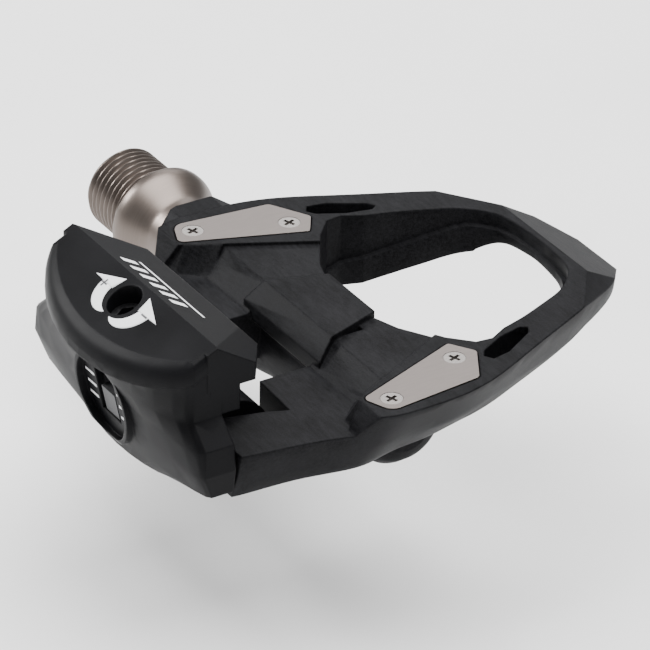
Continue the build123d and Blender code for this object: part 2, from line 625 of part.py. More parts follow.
def make_binding():
    """Claw, rear shell, side arms and lugs in one moulding."""
    neck_y = SEAM_Y - 2.0
    body = rear_shell() + claw_cap()
    body += plan_prism(mirrored([(CLAW_HALF, CLAW_WALL_Y), (CLAW_HALF, neck_y)]), 12.2, 18.5)
    body += plan_prism(mirrored([(LUG_OUT, CLAW_WALL_Y), (LUG_OUT, neck_y)]), PIVOT_Z, 14)
    body += hinge_rod(-LUG_OUT, LUG_OUT, BARREL_R)
    body -= both_sides(half_space_above((13.9, -25.3, 20.85), (11.38, 23.5, 36.56), TALL))

    # raised lip round the indicator window
    body += window_prism(WINDOW_R + WINDOW_LIP, -44.0, -36.0) & side_prism(
        [(-36, -3), (-38.9, -2.9), (-40.6, -0.2), (-41.3, 3.0), (-42.0, 8), (-42.9, 14), (-36, 14)], TALL)

    # hollow for the springs and the nut, open at the bottom
    body -= side_prism([(PIVOT_Y - 3.5, -10), (-36.9, -10), (-37.6, 0), (-38.9, 4.5), (-39.6, 9),
                        (-39.9, 16.3), (-31.6, 16.3), (-31.6, 6.5), (PIVOT_Y - 3.5, 5.5)], LUG_IN)
    body -= hinge_rod(-LUG_IN, LUG_IN, BARREL_R - BARREL_WALL)
    body -= plan_prism(mirrored([(LUG_IN, -15), (LUG_IN, -37.6)]), -20, PIVOT_Z - 2.6)
    body -= hinge_rod(PIN_START_X, -PIN_START_X, PIN_R + RUN)

    # round recess of the indicator window and the opening in its floor
    body -= window_prism(WINDOW_R, -TALL, -30) & side_prism(
        [(-TALL, -8), WINDOW_FLOOR[0], WINDOW_FLOOR[1], (-TALL, 16)], TALL)
    body -= side_prism([(-TALL, WINDOW_LOW), (-36, WINDOW_LOW), (-36, WINDOW_HIGH), (-TALL, WINDOW_HIGH)],
                       WINDOW_HALF_WIDTH)

    # stepped hole for the tension bolt
    body -= ADJUSTER * Cylinder(BOLT_HEAD_R + HEAD_CLEARANCE, 2 * (BOLT_HEAD_DEPTH + BOLT_HEAD_HEIGHT))
    body -= ADJUSTER * Cylinder(BOLT_R + RUN, 2 * BOLT_LENGTH)
    return body


# ---- tension adjuster ----
def make_adjuster_bolt():
    """Socket-headed tension bolt."""
    head = Pos(0, 0, -BOLT_HEAD_DEPTH) * Cylinder(BOLT_HEAD_R, BOLT_HEAD_HEIGHT, align=DOWN)
    shank = Pos(0, 0, -BOLT_HEAD_DEPTH) * Cylinder(BOLT_R, BOLT_LENGTH, align=DOWN)
    socket = Pos(0, 0, -BOLT_HEAD_DEPTH) * extrude(
        RegularPolygon(BOLT_HEX / 2, 6, major_radius=False), -0.7 * BOLT_HEAD_HEIGHT)
    return ADJUSTER * (head + shank - socket)


def make_tension_nut():
    """Crossbar nut that rides on the bolt and loads the spring legs."""
    boss_side = 2 * (BOLT_R + RUN + NUT_WALL)
    bar = Pos(0, 0, -NUT_DEPTH) * Box(2 * LUG_IN - 5.0, NUT_BAR, NUT_THICKNESS)
    boss = Pos(0, 0, -NUT_DEPTH) * Box(boss_side, boss_side, NUT_THICKNESS)
    bore = Pos(0, 0, -NUT_DEPTH) * Cylinder(BOLT_R + RUN, 3 * NUT_THICKNESS)
    return ADJUSTER * (bar + boss - bore)


def make_indicator():
    """Marker bracket under the nut, with its flag in the rear window."""
    shelf_top = -NUT_DEPTH - NUT_THICKNESS / 2 - RUN
    shelf_start = -BOLT_R - NUT_WALL / 2
    shelf_end = -FLAG_BACK - FLAG_THICKNESS / 2
    shelf = Pos(0, (shelf_start + shelf_end) / 2, shelf_top - 0.4) * Box(
        2 * FLAG_HALF, shelf_start - shelf_end, 0.8)
    flag = Pos(0, -FLAG_BACK, shelf_top) * Box(2 * FLAG_HALF, FLAG_THICKNESS, FLAG_HEIGHT, align=DOWN)
    return ADJUSTER * (shelf + flag)


NODES = {
    "body": make_body,
    "contact_plate_inboard": lambda: make_contact_plate(-1),
    "contact_plate_outboard": lambda: make_contact_plate(1),
    "plate_screws": make_plate_screws,
    "pivot_pin": make_pivot_pin,
    "torsion_spring_inboard": lambda: make_torsion_spring(-1),
    "torsion_spring_outboard": lambda: make_torsion_spring(1),
    "spindle": make_spindle,
    "cone": make_cone,
    "lock_nut": make_lock_nut,
    "bearing_tube": make_bearing_tube,
    "needle_cup": make_needle_cup,
    "needle_rollers": make_needle_rollers,
    "inner_race": lambda: make_race(INNER_BALL_X, -1),
    "outer_race": lambda: make_race(OUTER_BALL_X, 1),
    "inner_balls": lambda: make_balls(INNER_BALL_X),
    "outer_balls": lambda: make_balls(OUTER_BALL_X),
    "lock_sleeve": make_lock_sleeve,
    "dust_seal": make_dust_seal,
    "binding": make_binding,
    "adjuster_bolt": make_adjuster_bolt,
    "tension_nut": make_tension_nut,
    "indicator": make_indicator,
}

os.makedirs("parts", exist_ok=True)
for name, make in NODES.items():
    export_step(Pos(PEDAL_OFFSET, 0, 0) * make(), "parts/" + name + ".step")
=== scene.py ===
import logging
import math
from dataclasses import dataclass
from enum import Enum

import bmesh
import bpy
import numpy as np
from mathutils import Matrix, Vector


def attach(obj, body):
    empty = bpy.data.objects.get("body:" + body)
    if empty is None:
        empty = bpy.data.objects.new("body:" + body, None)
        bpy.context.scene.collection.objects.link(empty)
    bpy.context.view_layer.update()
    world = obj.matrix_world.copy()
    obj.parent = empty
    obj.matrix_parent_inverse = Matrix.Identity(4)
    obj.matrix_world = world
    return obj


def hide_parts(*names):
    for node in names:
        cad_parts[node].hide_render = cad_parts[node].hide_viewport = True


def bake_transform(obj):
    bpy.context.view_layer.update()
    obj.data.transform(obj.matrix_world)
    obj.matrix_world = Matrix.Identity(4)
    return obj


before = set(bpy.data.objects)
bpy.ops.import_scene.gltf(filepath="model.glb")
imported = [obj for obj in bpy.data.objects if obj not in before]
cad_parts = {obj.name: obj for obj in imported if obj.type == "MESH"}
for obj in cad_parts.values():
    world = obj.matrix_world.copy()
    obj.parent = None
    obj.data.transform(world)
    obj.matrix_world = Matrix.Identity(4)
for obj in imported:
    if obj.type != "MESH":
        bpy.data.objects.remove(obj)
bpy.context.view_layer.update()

# Clipless road pedal, right-hand side.  Metres, +Z up, +Y towards the front loop, +X away from the
# crank, origin at the middle of the spindle's crank seat.

LOG = logging.getLogger("pedal")
MM = 0.001
CENTRE_X = 54.0 * MM


class Body(Enum):
    """Rigid bodies of the pedal that new pieces move with."""

    SPINDLE = "spindle_unit"
    PEDAL = "pedal_body"
    BINDING = "binding_unit"
    TENSION = "tension_unit"


class Grain(Enum):
    """Directions in which a surface texture is drawn out, as scale factors along X, Y and Z."""

    EVEN = (1.0, 1.0, 1.0)
    ACROSS = (0.22, 1.0, 1.0)
    LENGTHWISE = (1.0, 0.12, 1.0)
    TURNED = (1.0, 0.04, 0.04)


# ---- materials ----
class NodeTree:
    """Builds the node tree of one material round its main shader."""

    def __init__(self, name: str) -> None:
        """Makes an empty material.

        Args:
            name: Name of the material.
        """
        self.material = bpy.data.materials.new(name)
        self.material.use_nodes = True
        self.tree = self.material.node_tree
        self.shader = self.tree.nodes["Principled BSDF"]

    def node(self, kind: str, **settings: object) -> bpy.types.Node:
        """Adds a node.

        Args:
            kind: Blender's type name of the node.
            **settings: Attributes to set on it.

        Returns:
            The new node.
        """
        made = self.tree.nodes.new(kind)
        for key, value in settings.items():
            setattr(made, key, value)
        return made

    def link(self, start: bpy.types.NodeSocket, end: bpy.types.NodeSocket) -> None:
        """Joins an output to an input."""
        self.tree.links.new(start, end)

    def constant(self, **values: object) -> None:
        """Sets constant inputs of the shader, with underscores for the spaces in their names."""
        for key, value in values.items():
            self.shader.inputs[key.replace("_", " ")].default_value = value

    def coords(self, grain: Grain, turn: float = 0.0) -> bpy.types.NodeSocket:
        """Gives the object coordinates, stretched along the grain.

        Args:
            grain: Direction the texture is drawn out in.
            turn: Rotation about Z in radians, before the stretch.

        Returns:
            The vector output.
        """
        source = self.node("ShaderNodeTexCoord")
        mapping = self.node("ShaderNodeMapping")
        mapping.inputs["Scale"].default_value = grain.value
        mapping.inputs["Rotation"].default_value = (0.0, 0.0, turn)
        self.link(source.outputs["Object"], mapping.inputs["Vector"])
        return mapping.outputs["Vector"]

    def noise(self, vector: bpy.types.NodeSocket, size: float, detail: float = 3.0,
              roughness: float = 0.55) -> bpy.types.NodeSocket:
        """Adds a noise texture.

        Args:
            vector: Coordinates it reads.
            size: Size of its features in metres.
            detail: Number of finer layers.
            roughness: Share of the finer layers.

        Returns:
            The factor output.
        """
        made = self.node("ShaderNodeTexNoise")
        made.inputs["Scale"].default_value = 1.0 / size
        made.inputs["Detail"].default_value = detail
        made.inputs["Roughness"].default_value = roughness
        self.link(vector, made.inputs["Vector"])
        return made.outputs["Fac"]

    def spread(self, factor: bpy.types.NodeSocket, low: float, high: float,
               start: float = 0.3, end: float = 0.7) -> bpy.types.NodeSocket:
        """Maps a factor onto a range of values.

        Args:
            factor: Value to map.
            low: Result at the start.
            high: Result at the end.
            start: Factor that gives the low result.
            end: Factor that gives the high result.

        Returns:
            The result output.
        """
        made = self.node("ShaderNodeMapRange")
        for key, value in (("From Min", start), ("From Max", end), ("To Min", low), ("To Max", high)):
            made.inputs[key].default_value = value
        self.link(factor, made.inputs["Value"])
        return made.outputs["Result"]

    def tint(self, factor: bpy.types.NodeSocket, dark: tuple, light: tuple,
             start: float = 0.3, end: float = 0.7) -> bpy.types.NodeSocket:
        """Blends two colours by a factor.

        Args:
            factor: Value that chooses the colour.
            dark: Colour at the start.
            light: Colour at the end.
            start: Factor that gives the dark colour.
            end: Factor that gives the light colour.

        Returns:
            The colour output.
        """
        made = self.node("ShaderNodeValToRGB")
        stops = made.color_ramp.elements
        stops[0].position, stops[0].color = start, (*dark, 1.0)
        stops[1].position, stops[1].color = end, (*light, 1.0)
        self.link(factor, made.inputs["Fac"])
        return made.outputs["Color"]

    def blend(self, first: bpy.types.NodeSocket, second: bpy.types.NodeSocket,
              share: float) -> bpy.types.NodeSocket:
        """Mixes two values.

        Args:
            first: Value with the larger say at a small share.
            second: The other value.
            share: Share of the second value.

        Returns:
            The mixed value.
        """
        made = self.node("ShaderNodeMix")
        made.inputs[0].default_value = share
        self.link(first, made.inputs[2])
        self.link(second, made.inputs[3])
        return made.outputs[0]

    def relief(self, height: bpy.types.NodeSocket, strength: float, depth: float,
               radius: float = 0.0) -> None:
        """Bends the shading normal by a height, over edges that look rounded.

        Args:
            height: Value read as the height.
            strength: Share of the effect.
            depth: Full height in metres.
            radius: Radius of the rounded edges in metres, or none.
        """
        made = self.node("ShaderNodeBump")
        made.inputs["Strength"].default_value = strength
        made.inputs["Distance"].default_value = depth
        self.link(height, made.inputs["Height"])
        if radius:
            eased = self.node("ShaderNodeBevel", samples=6)
            eased.inputs["Radius"].default_value = radius
            self.link(eased.outputs["Normal"], made.inputs["Normal"])
        self.link(made.outputs["Normal"], self.shader.inputs["Normal"])


class Finish:
    """A surface finish that can make its material."""

    def build(self, name: str) -> bpy.types.Material:
        """Makes the material.

        Args:
            name: Name of the material.

        Returns:
            The material.
        """
        raise NotImplementedError


@dataclass(frozen=True)
class GrainedComposite(Finish):
    """Carbon-filled plastic with a fine drawn grain."""

    dark: tuple = (0.001, 0.001, 0.0013)
    light: tuple = (0.014, 0.014, 0.0155)
    grain_size: float = 0.55 * MM
    fleck_size: float = 0.22 * MM
    cloud_size: float = 9.0 * MM
    smooth: float = 0.42
    rough: float = 0.58
    depth: float = 0.035 * MM
    turn: float = 0.5
    shine: float = 0.05
    edge: float = 0.5 * MM

    def build(self, name: str) -> bpy.types.Material:
        """Makes the material.

        Args:
            name: Name of the material.

        Returns:
            The material.
        """
        tree = NodeTree(name)
        drawn = tree.noise(tree.coords(Grain.ACROSS, self.turn), self.grain_size, 5.0, 0.62)
        fleck = tree.noise(tree.coords(Grain.EVEN), self.fleck_size, 2.0, 0.5)
        cloud = tree.noise(tree.coords(Grain.EVEN), self.cloud_size, 2.0, 0.5)
        grain = tree.blend(drawn, fleck, 0.45)
        tone = tree.blend(grain, cloud, 0.25)
        tree.link(tree.tint(tone, self.dark, self.light, 0.36, 0.64), tree.shader.inputs["Base Color"])
        tree.link(tree.spread(tone, self.smooth, self.rough), tree.shader.inputs["Roughness"])
        tree.relief(grain, 0.6, self.depth, self.edge)
        tree.constant(Specular_IOR_Level=self.shine)
        return tree.material


@dataclass(frozen=True)
class SatinComposite(Finish):
    """Smoother carbon-filled plastic of the rear binding."""

    dark: tuple = (0.002, 0.002, 0.0024)
    light: tuple = (0.006, 0.006, 0.007)
    fleck_size: float = 0.16 * MM
    cloud_size: float = 12.0 * MM
    smooth: float = 0.40
    rough: float = 0.50
    depth: float = 0.012 * MM
    shine: float = 0.07
    edge: float = 0.4 * MM

    def build(self, name: str) -> bpy.types.Material:
        """Makes the material.

        Args:
            name: Name of the material.

        Returns:
            The material.
        """
        tree = NodeTree(name)
        fleck = tree.noise(tree.coords(Grain.EVEN), self.fleck_size, 3.0, 0.6)
        cloud = tree.noise(tree.coords(Grain.EVEN), self.cloud_size, 2.0, 0.5)
        tone = tree.blend(fleck, cloud, 0.5)
        tree.link(tree.tint(tone, self.dark, self.light, 0.35, 0.65), tree.shader.inputs["Base Color"])
        tree.link(tree.spread(cloud, self.smooth, self.rough), tree.shader.inputs["Roughness"])
        tree.relief(fleck, 0.4, self.depth, self.edge)
        tree.constant(Specular_IOR_Level=self.shine)
        return tree.material


@dataclass(frozen=True)
class Metal(Finish):
    """Metal with fine marks drawn along a grain direction."""

    dark: tuple
    light: tuple
    grain: Grain
    mark_size: float = 0.25 * MM
    cloud_size: float = 14.0 * MM
    smooth: float = 0.30
    rough: float = 0.42
    depth: float = 0.006 * MM
    metallic: float = 1.0
    turn: float = 0.0

    def build(self, name: str) -> bpy.types.Material:
        """Makes the material.

        Args:
            name: Name of the material.

        Returns:
            The material.
        """
        tree = NodeTree(name)
        marks = tree.noise(tree.coords(self.grain, self.turn), self.mark_size, 3.0, 0.6)
        cloud = tree.noise(tree.coords(Grain.EVEN), self.cloud_size, 2.0, 0.5)
        tone = tree.blend(marks, cloud, 0.4)
        tree.link(tree.tint(tone, self.dark, self.light, 0.3, 0.7), tree.shader.inputs["Base Color"])
        tree.link(tree.spread(tone, self.smooth, self.rough), tree.shader.inputs["Roughness"])
        tree.relief(marks, 0.4, self.depth)
        tree.constant(Metallic=self.metallic)
        return tree.material


@dataclass(frozen=True)
class Paint(Finish):
    """Printed or moulded plain colour with a faint mottle."""

    dark: tuple
    light: tuple
    mottle_size: float = 0.3 * MM
    smooth: float = 0.45
    rough: float = 0.60

    def build(self, name: str) -> bpy.types.Material:
        """Makes the material.

        Args:
            name: Name of the material.

        Returns:
            The material.
        """
        tree = NodeTree(name)
        mottle = tree.noise(tree.coords(Grain.EVEN), self.mottle_size, 4.0, 0.6)
        tree.link(tree.tint(mottle, self.dark, self.light), tree.shader.inputs["Base Color"])
        tree.link(tree.spread(mottle, self.smooth, self.rough), tree.shader.inputs["Roughness"])
        return tree.material


class FinishKind(Enum):
    """Every finish on the pedal and on its stage."""

    COMPOSITE = GrainedComposite()
    BINDING = SatinComposite()
    STAINLESS = Metal((0.185, 0.163, 0.153), (0.22, 0.196, 0.184), Grain.LENGTHWISE, 0.35 * MM, 20 * MM,
                      0.36, 0.44)
    SCREW = Metal((0.24, 0.225, 0.215), (0.31, 0.292, 0.28), Grain.EVEN, 0.5 * MM, 6 * MM, 0.22, 0.32)
    SPINDLE = Metal((0.135, 0.113, 0.10), (0.165, 0.14, 0.125), Grain.TURNED, 0.12 * MM, 16 * MM, 0.34, 0.42)
    GROUND = Metal((0.42, 0.42, 0.43), (0.56, 0.56, 0.57), Grain.TURNED, 0.2 * MM, 10 * MM, 0.2, 0.3)
    SPRING = Metal((0.26, 0.26, 0.28), (0.38, 0.38, 0.40), Grain.EVEN, 0.4 * MM, 8 * MM, 0.3, 0.42)
    BLACK_OXIDE = Metal((0.025, 0.025, 0.027), (0.06, 0.06, 0.063), Grain.EVEN, 0.4 * MM, 6 * MM, 0.32, 0.45)
    SLEEVE = Paint((0.02, 0.02, 0.022), (0.045, 0.045, 0.048))
    RUBBER = Paint((0.014, 0.014, 0.014), (0.030, 0.030, 0.030), 0.5 * MM, 0.65, 0.8)
    INK = Paint((0.70, 0.71, 0.72), (0.80, 0.81, 0.82), 0.25 * MM, 0.40, 0.55)
    DARK_INK = Paint((0.045, 0.045, 0.05), (0.08, 0.08, 0.085), 0.25 * MM, 0.45, 0.55)
    FLOOR = Paint((0.84, 0.84, 0.84), (0.88, 0.88, 0.88), 60 * MM, 0.8, 0.9)


class Palette:
    """Makes each finish's material once and puts it on pieces."""

    def __init__(self) -> None:
        """Starts with no materials."""
        self.made: dict = {}

    def dress(self, piece: bpy.types.Object, kind: FinishKind) -> None:
        """Gives a piece one finish all over.

        Args:
            piece: The object to dress.
            kind: Its finish.
        """
        if kind not in self.made:
            self.made[kind] = kind.value.build("finish_" + kind.name.lower())
        piece.data.materials.clear()
        piece.data.materials.append(self.made[kind])


# ---- surfaces ----
def surface(name: str, points: np.ndarray, wrap: bool = False, sharp: float = 35.0) -> bpy.types.Object:
    """Makes a mesh from a grid of points, a function of two parameters.

    Rows that fall on one point close into a pole, and equal points are merged.

    Args:
        name: Name of the piece.
        points: Grid of places, rows by columns by 3, in metres.
        wrap: Whether the last column joins the first.
        sharp: Angle in degrees over which an edge stays sharp.

    Returns:
        The new object.
    """
    rows, columns = points.shape[:2]
    index = np.arange(rows * columns).reshape(rows, columns)
    nearer = index if wrap else index[:, :-1]
    further = np.roll(index, -1, axis=1) if wrap else index[:, 1:]
    faces = np.stack([nearer[:-1], further[:-1], further[1:], nearer[1:]], axis=-1).reshape(-1, 4)
    mesh = bpy.data.meshes.new(name)
    mesh.from_pydata(points.reshape(-1, 3).tolist(), [], faces.tolist())
    clean = bmesh.new()
    clean.from_mesh(mesh)
    bmesh.ops.remove_doubles(clean, verts=clean.verts, dist=1e-7)
    bmesh.ops.dissolve_degenerate(clean, edges=clean.edges, dist=1e-8)
    bmesh.ops.recalc_face_normals(clean, faces=clean.faces)
    clean.to_mesh(mesh)
    clean.free()
    mesh.shade_smooth()
    mesh.set_sharp_from_angle(angle=math.radians(sharp))
    piece = bpy.data.objects.new(name, mesh)
    bpy.context.scene.collection.objects.link(piece)
    return piece


def thicken(piece: bpy.types.Object, depth: float) -> None:
    """Gives a flat piece a thickness towards the back of its faces.

    Args:
        piece: The flat piece.
        depth: Thickness in metres.
    """
    solid = piece.modifiers.new("thickness", "SOLIDIFY")
    solid.thickness = depth
    solid.offset = 0.0


def ease_edges(piece: bpy.types.Object, width: float, segments: int = 2) -> None:
    """Bevels the sharp edges of a piece as far as its facets leave room.

    Thin facets beside an edge hold the bevel to a small part of the width, so on the mouldings the
    edges stay nearly sharp, and look rounded only through their finish.

    Args:
        piece: The piece.
        width: Largest width of the bevel in metres.
        segments: Number of facets across it.
    """
    weld = piece.modifiers.new("weld", "WELD")
    weld.merge_threshold = 1e-6
    bevel = piece.modifiers.new("edges", "BEVEL")
    bevel.width = width
    bevel.segments = segments
    bevel.limit_method = "ANGLE"
    bevel.angle_limit = math.radians(40)
    bevel.harden_normals = True
    bevel.miter_outer = "MITER_ARC"


class Tilted:
    """A flat place on the pedal with its own two directions."""

    def __init__(self, origin: tuple, slope: float, lift: float) -> None:
        """Sets the plane.

        Args:
            origin: A point of the plane in millimetres about the pedal's centre.
            slope: Angle in radians by which +Y climbs along the plane.
            lift: Height above the plane in metres.
        """
        self.ahead = np.array((0.0, math.cos(slope), math.sin(slope)))
        self.normal = np.array((0.0, -math.sin(slope), math.cos(slope)))
        self.origin = np.array(origin) * MM + (CENTRE_X, 0.0, 0.0) + self.normal * lift

    def place(self, across: np.ndarray, along: np.ndarray) -> np.ndarray:
        """Gives the places of points on the plane.

        Args:
            across: Distances along X in metres.
            along: Distances up the slope in metres.

        Returns:
            The points, with a last axis of 3.
        """
        flat = np.asarray(across)[..., None] * np.array((1.0, 0.0, 0.0))
        return self.origin + flat + np.asarray(along)[..., None] * self.ahead


# ---- sub-assemblies ----
@dataclass
class Spindle:
    """Turned spindle with a real right-hand crank thread and a hexagon socket."""

    palette: Palette
    crest: float = 7.144 * MM
    pitch: float = 1.27 * MM
    depth: float = 0.74 * MM
    thread_length: float = 12.9 * MM
    relief: float = 1.0 * MM
    socket_flats: float = 8.0 * MM
    socket_depth: float = 7.0 * MM
    flange: float = 9.25 * MM
    flange_edge: float = 0.55 * MM
    neck: float = 6.7 * MM
    neck_x: float = 12.8 * MM
    rim_x: float = 1.15 * MM
    dome_x: float = 7.4 * MM
    journal: float = 4.6 * MM
    journal_end: float = 32.5 * MM
    shaft: float = 2.9 * MM
    shaft_start: float = 37.0 * MM
    nut: float = 2.45 * MM
    nut_start: float = 67.3 * MM
    tip: float = 73.4 * MM
    tip_chamfer: float = 0.3 * MM
    columns: int = 180

    def outline(self) -> list:
        """Lists the plain part of the profile, seat to outboard end.

        Returns:
            Pairs of distance along the axis and radius, in metres.
        """
        edge = self.flange_edge
        bead = [(edge * (1 - math.cos(a)), self.flange - edge * (1 - math.sin(a)))
                for a in np.linspace(0.0, math.pi / 2, 6)]
        dome = [(self.rim_x + t * (self.dome_x - self.rim_x),
                 self.neck + (self.flange - self.neck) * (0.5 + 0.5 * math.cos(math.pi * t)) ** 0.9)
                for t in np.linspace(0.0, 1.0, 40)]
        inner = [(self.neck_x, self.neck), (self.neck_x, self.journal), (self.journal_end, self.journal),
                 (self.shaft_start, self.shaft), (self.nut_start, self.shaft), (self.nut_start, self.nut),
                 (self.tip - self.tip_chamfer, self.nut), (self.tip, self.nut - self.tip_chamfer),
                 (self.tip, 0.0)]
        doubled = [point for point in inner for _ in range(2)]
        return bead + dome + doubled[:-1]

    def thread_rows(self, angles: np.ndarray) -> tuple:
        """Works out the crank thread.

        The radius falls from the crest by a trapezoid wave of the turn and the distance along the
        axis, so that the groove climbs one pitch in each turn, right-handed about +X.

        Args:
            angles: Angles round the axis.

        Returns:
            Distances along the axis and radii, both rows by columns.
        """
        length = self.thread_length
        along = np.linspace(-length, 0.0, 150)[:, None] * np.ones_like(angles)[None, :]
        turn = along / self.pitch - angles[None, :] / (2 * np.pi)
        wave = np.abs(2 * (turn - np.floor(turn)) - 1)
        groove = np.clip((wave - 0.14) / 0.74, 0.0, 1.0)
        fade = np.clip((-along - self.relief) / (0.6 * MM), 0.0, 1.0)
        radius = self.crest - self.depth * (groove * fade + (1 - fade) * 0.95)
        lead = self.crest - self.depth * 1.35 + (along + length) * 1.1
        return along, np.minimum(radius, lead)

    def build(self) -> bpy.types.Object:
        """Makes the spindle.

        Returns:
            The spindle.
        """
        angles = np.linspace(0.0, 2 * np.pi, self.columns, endpoint=False)
        sector = (angles + np.pi / 6) % (np.pi / 3) - np.pi / 6
        hexagon = self.socket_flats / 2 / np.cos(sector)
        end = -self.thread_length
        floor = end + self.socket_depth
        ones = np.ones_like(angles)
        along, radius = self.thread_rows(angles)
        plain = np.array(self.outline())
        rim = self.socket_flats / math.sqrt(3) + 0.25 * MM
        rows = [(floor, 0 * ones), (floor, 0.98 * hexagon), (floor, hexagon), (floor - 0.05 * MM, hexagon),
                (end + 0.5 * MM, hexagon), (end + 0.25 * MM, np.maximum(hexagon, rim - 0.3 * MM)),
                (end, rim * ones), (end, rim * ones), (end, radius[0]), (end, radius[0])]
        x = np.concatenate([np.stack([place * ones for place, _ in rows]), along[1:],
                            plain[:, :1] * ones[None, :]])
        r = np.concatenate([np.stack([size for _, size in rows]), radius[1:],
                            plain[:, 1:] * ones[None, :]])
        points = np.stack([x, r * np.cos(angles), r * np.sin(angles)], axis=-1)
        piece = surface("spindle_turned", points, wrap=True, sharp=32.0)
        self.palette.dress(piece, FinishKind.SPINDLE)
        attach(piece, Body.SPINDLE.value)
        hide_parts("spindle")
        return piece


@dataclass
class TorsionSpring:
    """Wound wire on the hinge pin with a front and a rear leg, built at rest and not moving with the
    binding.
    """

    palette: Palette
    side: int
    wire: float = 0.8 * MM
    coil: float = 4.0 * MM
    turns: int = 4
    start_x: float = 4.0 * MM
    end_x: float = 12.05 * MM
    pivot_y: float = -27.5 * MM
    pivot_z: float = 2.0 * MM
    front_y: float = -16.4 * MM
    rear: tuple = ((-38.2, 13.6), (-37.75, 8.0), (-35.2, -2.0))
    reach: float = 1.3 * MM
    around: int = 20

    def bend(self, before: np.ndarray, corner: np.ndarray, after: np.ndarray) -> np.ndarray:
        """Rounds a corner of the wire with a parabola.

        Args:
            before: A point on the run before the corner.
            corner: The corner.
            after: A point on the run after the corner.

        Returns:
            Points from one run to the other.
        """
        first = corner + (before - corner) * self.reach / np.linalg.norm(before - corner)
        last = corner + (after - corner) * self.reach / np.linalg.norm(after - corner)
        way = np.linspace(0.0, 1.0, 10)[:, None]
        return first * (1 - way) ** 2 + 2 * corner * way * (1 - way) + last * way ** 2

    def path(self) -> np.ndarray:
        """Works out the middle line of the wire, rear tip to front tip.

        The coil is a helix about the pin: it moves along X in proportion to its angle, and starts
        and ends under the pin, where it runs straight on into the two legs.

        Returns:
            Points along the wire.
        """
        tip, knee, heel = (np.array((self.start_x, y * MM, z * MM)) for y, z in self.rear)
        angle = np.linspace(0.0, 2 * np.pi * self.turns, 40 * self.turns)
        along = self.start_x + (self.end_x - self.start_x) * angle / angle[-1]
        helix = np.stack([along, self.pivot_y + self.coil * np.sin(angle),
                          self.pivot_z - self.coil * np.cos(angle)], axis=1)
        front = np.array([(self.end_x, self.front_y, self.pivot_z - self.coil)])
        return np.concatenate([tip[None], self.bend(tip, knee, heel), self.bend(knee, heel, helix[0]),
                               helix, front])

    def tube(self, path: np.ndarray) -> np.ndarray:
        """Works out a round tube along a line, with a flat cap at each end.

        Each ring lies square to the line, and its start direction is the last ring's, made square
        again, so that the tube doesn't twist.

        Args:
            path: Points along the middle line.

        Returns:
            Grid of places, rings by points.
        """
        ahead = np.gradient(path, axis=0)
        ahead /= np.linalg.norm(ahead, axis=1)[:, None]
        angle = np.linspace(0.0, 2 * np.pi, self.around, endpoint=False)[:, None]
        side = np.array((1.0, 0.0, 0.0))
        rings = []
        for place, forward in zip(path, ahead):
            side = side - forward * (side @ forward)
            side /= np.linalg.norm(side)
            other = np.cross(forward, side)
            rings.append(place + self.wire * (np.cos(angle) * side + np.sin(angle) * other))
        caps = [np.repeat(place[None], self.around, axis=0) for place in (path[0], path[-1])]
        return np.stack([caps[0], *rings, caps[1]])

    def build(self) -> bpy.types.Object:
        """Makes the spring.

        Returns:
            The spring.
        """
        name = "outboard" if self.side > 0 else "inboard"
        places = self.tube(self.path()) * (self.side, 1.0, 1.0) + (CENTRE_X, 0.0, 0.0)
        piece = surface("spring_wound_" + name, places, wrap=True)
        self.palette.dress(piece, FinishKind.SPRING)
        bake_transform(piece)
        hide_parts("torsion_spring_" + name)
        return piece


@dataclass
class CurvedArrow:
    """Crescent arrow printed round the adjuster hole, with its sign."""

    name: str
    tail: float
    head: float
    tip: float
    inner: float = 4.15 * MM
    widest: float = 2.6 * MM
    barb: float = 9.2 * MM

    def ribbon(self, plane: Tilted) -> tuple:
        """Works out the arrow as a band along an arc.

        The inner edge lies on a circle; the width swells from nothing at the tail as the square
        root of the way round, and the head is a triangle that narrows to the tip.

        Args:
            plane: The surface it is printed on.

        Returns:
            Grids of places of the band and of its head.
        """
        way = np.linspace(0.0, 1.0, 40)
        angle = np.radians(self.tail + (self.head - self.tail) * way)
        low = self.inner - 0.55 * MM * (1 - way) + 0.1 * MM * way
        high = low + self.widest * np.sin(0.5 * np.pi * way) ** 0.8 + 0.06 * MM
        sides = np.linspace(0.0, 1.0, 6)[None, :]
        radius = low[:, None] + (high - low)[:, None] * sides
        arc = plane.place(radius * np.cos(angle)[:, None], radius * np.sin(angle)[:, None])
        start = np.radians(self.head)
        barb_low = np.array((math.cos(start), math.sin(start))) * (self.inner - 0.15 * MM)
        barb_high = np.array((math.cos(start), math.sin(start))) * self.barb
        end = np.radians(self.tip)
        point = np.array((math.cos(end), math.sin(end))) * (self.inner + 0.3 * MM)
        closing = np.linspace(0.0, 1.0, 10)[:, None, None]
        base = barb_low + (barb_high - barb_low) * sides[..., None]
        flat = base * (1 - closing) + point * closing
        return arc, plane.place(flat[..., 0], flat[..., 1])


